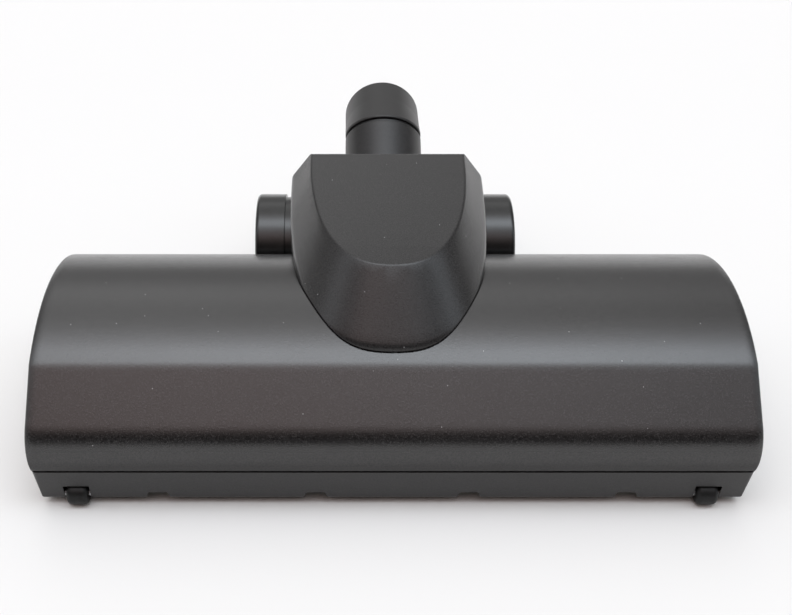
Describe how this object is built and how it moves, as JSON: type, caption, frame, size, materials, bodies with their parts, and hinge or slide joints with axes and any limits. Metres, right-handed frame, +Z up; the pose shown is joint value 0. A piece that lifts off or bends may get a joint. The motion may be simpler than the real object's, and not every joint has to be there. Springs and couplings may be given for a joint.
{
  "type": "vacuum floor brush head",
  "caption": "Wide vacuum floor head with a humped cover, rear wheels, front rollers, a belt-driven brush turned by an air turbine under a hood, and a tilting, swivelling neck.",
  "frame": {"origin": "on the floor under the middle of the part's outline", "axes": "+X across the head to its right, +Y from the front face towards the neck, +Z up"},
  "size_m": [0.285, 0.2196, 0.0902],
  "materials": {
    "cover_plastic": "dark charcoal moulded plastic with a fine spark-eroded grain",
    "base_plastic": "dark charcoal moulded plastic, lightly grained",
    "hood_plastic": "smooth matte dark grey moulded plastic",
    "wheel_plastic": "glossy black moulded plastic",
    "roller_plastic": "glossy black moulded plastic",
    "neck_plastic": "satin dark grey moulded plastic",
    "ring_plastic": "black moulded plastic",
    "core_plastic": "black moulded plastic",
    "bristle": "black nylon filament",
    "belt_rubber": "black rubber",
    "turbine_plastic": "off-white moulded plastic",
    "bearing_plastic": "dark grey moulded plastic",
    "bronze": "sintered bronze",
    "steel": "plain steel"
  },
  "bodies": {
    "housing": {"base_plate": "base_plastic", "top_cover": "cover_plastic", "turbine_hood": "hood_plastic", "housing_screws": "steel", "drive_belt": "belt_rubber", "wheel_axle_left": "steel", "roller_axle_left": "steel", "brush_bearing_left": "bearing_plastic", "turbine_bush_left": "bronze", "wheel_axle_right": "steel", "roller_axle_right": "steel", "brush_bearing_right": "bearing_plastic", "turbine_bush_right": "bronze"},
    "brush": {"brush_core": "core_plastic", "bristle_tufts": "bristle", "brush_stub_left": "steel", "brush_stub_right": "steel"},
    "turbine": {"turbine_wheel": "turbine_plastic", "turbine_shaft": "steel", "turbine_pinion": "turbine_plastic"},
    "elbow": {"neck_elbow": "neck_plastic"},
    "tube": {"neck_tube": "neck_plastic", "swivel_ring": "ring_plastic"},
    "wheel_left": {"rear_wheel_left": "wheel_plastic"},
    "roller_left": {"front_roller_left": "roller_plastic"},
    "wheel_right": {"rear_wheel_right": "wheel_plastic"},
    "roller_right": {"front_roller_right": "roller_plastic"}
  },
  "joints": [
    {"name": "neck_tilt", "type": "hinge", "parent": "housing", "child": "elbow", "pos_m": [0, 0.04384, 0.0447], "axis": [1, 0, 0], "range_deg": [0, 60]},
    {"name": "neck_swivel", "type": "hinge", "parent": "elbow", "child": "tube", "pos_m": [0, 0.04384, 0.0447], "axis": [0, 0.866, 0.5], "range_deg": [-90, 90]},
    {"name": "brush_spin", "type": "hinge", "parent": "housing", "child": "brush", "pos_m": [0, -0.07016, 0.026], "axis": [1, 0, 0], "continuous": true},
    {"name": "turbine_spin", "type": "hinge", "parent": "housing", "child": "turbine", "pos_m": [0, -0.01416, 0.049], "axis": [1, 0, 0], "continuous": true},
    {"name": "wheel_left_spin", "type": "hinge", "parent": "housing", "child": "wheel_left", "pos_m": [-0.0552, 0.04164, 0.026], "axis": [1, 0, 0], "continuous": true},
    {"name": "roller_left_spin", "type": "hinge", "parent": "housing", "child": "roller_left", "pos_m": [-0.1263, -0.10476, 0.005], "axis": [1, 0, 0], "continuous": true},
    {"name": "wheel_right_spin", "type": "hinge", "parent": "housing", "child": "wheel_right", "pos_m": [0.0552, 0.04164, 0.026], "axis": [1, 0, 0], "continuous": true},
    {"name": "roller_right_spin", "type": "hinge", "parent": "housing", "child": "roller_right", "pos_m": [0.1263, -0.10476, 0.005], "axis": [1, 0, 0], "continuous": true}
  ],
  "couplings": [
    {"joint": "turbine_spin", "follows": "brush_spin", "ratio": 2.0938}
  ]
}
